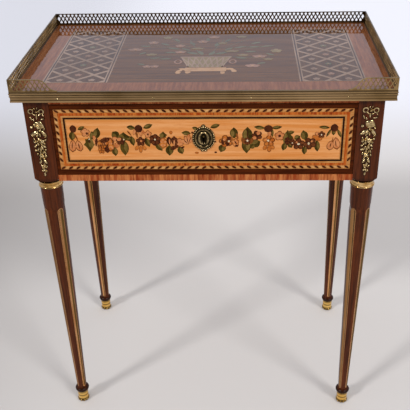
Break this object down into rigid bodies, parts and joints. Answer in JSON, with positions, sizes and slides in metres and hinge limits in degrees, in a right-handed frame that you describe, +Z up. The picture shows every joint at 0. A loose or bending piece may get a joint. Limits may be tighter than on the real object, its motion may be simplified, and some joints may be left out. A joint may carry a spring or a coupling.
{
  "type": "writing table",
  "caption": "Small Louis XVI style writing table with a galleried marquetry top, a lockable inlaid frieze drawer and turned, brass-fluted tapering legs.",
  "frame": {"origin": "on the floor, under the middle of the top", "axes": "+X to the right as the drawer faces the viewer, +Y to the back, +Z up; the drawer opens towards -Y"},
  "size_m": [0.668, 0.396, 0.7755],
  "materials": {
    "oak": "plain secondary wood, unpolished",
    "mahogany": "dark red-brown, French polished",
    "tulipwood": "striped red crossbanding, French polished",
    "satinwood": "orange-tan, inlaid, French polished",
    "rosewood": "dark inlaid ground, high polish",
    "edge_brass": "aged, satin",
    "gallery_brass": "aged, satin",
    "gilt_brass": "cast and gilt, satin",
    "flute_brass": "rolled, polished",
    "lock_brass": "plain",
    "steel": "plain"
  },
  "bodies": {
    "frame": {"top_board": "oak", "front_top_rail": "oak", "front_bottom_rail": "oak", "drawer_stops": "oak", "drawer_runner_left": "oak", "drawer_runner_right": "oak", "drawer_kicker_left": "oak", "drawer_kicker_right": "oak", "leg_front_left": "mahogany", "leg_front_right": "mahogany", "leg_rear_left": "mahogany", "leg_rear_right": "mahogany", "side_panel_left": "mahogany", "side_panel_right": "mahogany", "back_panel": "mahogany", "top_border_veneer": "tulipwood", "rail_crossbanding": "tulipwood", "top_trellis_left": "rosewood", "top_trellis_right": "rosewood", "top_centre_veneer": "rosewood", "edge_front": "edge_brass", "edge_back": "edge_brass", "edge_left": "edge_brass", "edge_right": "edge_brass", "gallery_back": "gallery_brass", "gallery_left": "gallery_brass", "gallery_right": "gallery_brass", "gallery_return_left": "gallery_brass", "gallery_return_right": "gallery_brass", "leg_collar_front_left": "gilt_brass", "leg_collar_front_right": "gilt_brass", "leg_collar_rear_left": "gilt_brass", "leg_collar_rear_right": "gilt_brass", "foot_front_left": "gilt_brass", "foot_front_right": "gilt_brass", "foot_rear_left": "gilt_brass", "foot_rear_right": "gilt_brass", "corner_mount_left": "gilt_brass", "corner_mount_right": "gilt_brass", "brass_pins": "gilt_brass", "flute_liners_front_left": "flute_brass", "flute_liners_front_right": "flute_brass", "flute_liners_rear_left": "flute_brass", "flute_liners_rear_right": "flute_brass", "wood_screws": "steel"},
    "drawer": {"drawer_front": "oak", "drawer_front_banding": "mahogany", "drawer_front_border": "tulipwood", "drawer_front_field": "satinwood", "drawer_side_left": "oak", "drawer_side_right": "oak", "drawer_back": "oak", "drawer_bottom": "oak", "escutcheon": "gilt_brass", "escutcheon_pins": "gilt_brass", "lock_case": "lock_brass", "lock_screws": "steel", "tumbler_spring": "steel"},
    "lock_bolt": {"lock_bolt": "lock_brass"},
    "lock_tumbler": {"lock_tumbler": "lock_brass"}
  },
  "joints": [
    {"name": "drawer_slide", "type": "slide", "parent": "frame", "child": "drawer", "axis": [0, -1, 0], "range_m": [0, 0.25]},
    {"name": "bolt_throw", "type": "slide", "parent": "drawer", "child": "lock_bolt", "axis": [0, 0, 1], "range_m": [0, 0.0065]},
    {"name": "tumbler_lift", "type": "hinge", "parent": "drawer", "child": "lock_tumbler", "pos_m": [-0.015, -0.171, 0.6964], "axis": [0, -1, 0], "range_deg": [0, 7], "stiffness_Nm_per_rad": 0.03, "springref_deg": -17.19, "deforming": ["tumbler_spring"]}
  ]
}
